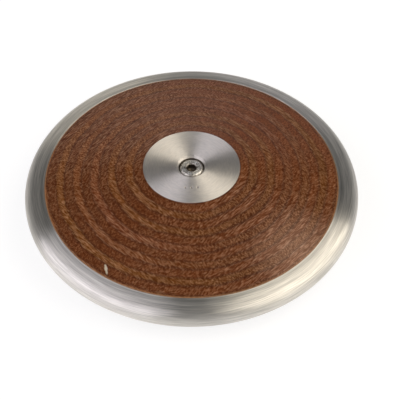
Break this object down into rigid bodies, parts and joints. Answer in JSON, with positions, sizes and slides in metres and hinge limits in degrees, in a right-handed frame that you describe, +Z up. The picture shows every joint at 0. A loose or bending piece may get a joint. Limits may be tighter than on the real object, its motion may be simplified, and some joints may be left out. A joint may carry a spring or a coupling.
{
  "type": "throwing discus",
  "caption": "Throwing discus with tapered laminated wooden sides in a rounded steel rim, and flush steel centre plates clamped by a socket head screw and sleeve nut.",
  "frame": {"origin": "middle of the lower centre plate's flat face, on the surface that the discus lies on", "axes": "+Z up along the axis of the discus, out of the upper centre plate; +X towards a corner of the hexagon socket"},
  "size_m": [0.181, 0.181, 0.038],
  "materials": {
    "rim_steel": "satin",
    "laminated_wood": "satin",
    "plate_steel": "satin",
    "screw_steel": "satin",
    "ballast_steel": "matte",
    "pin_steel": "satin"
  },
  "bodies": {
    "root": {"rim": "rim_steel", "upper_side": "laminated_wood", "lower_side": "laminated_wood", "upper_centre_plate": "plate_steel", "lower_centre_plate": "plate_steel", "centre_screw": "screw_steel", "sleeve_nut": "screw_steel", "upper_ballast_washer_1": "ballast_steel", "upper_ballast_washer_2": "ballast_steel", "lower_ballast_washer_1": "ballast_steel", "lower_ballast_washer_2": "ballast_steel", "lock_pin_1": "pin_steel", "lock_pin_2": "pin_steel", "lock_pin_3": "pin_steel", "lock_pin_4": "pin_steel", "lock_pin_5": "pin_steel", "lock_pin_6": "pin_steel", "lock_pin_7": "pin_steel", "lock_pin_8": "pin_steel"}
  },
  "joints": []
}
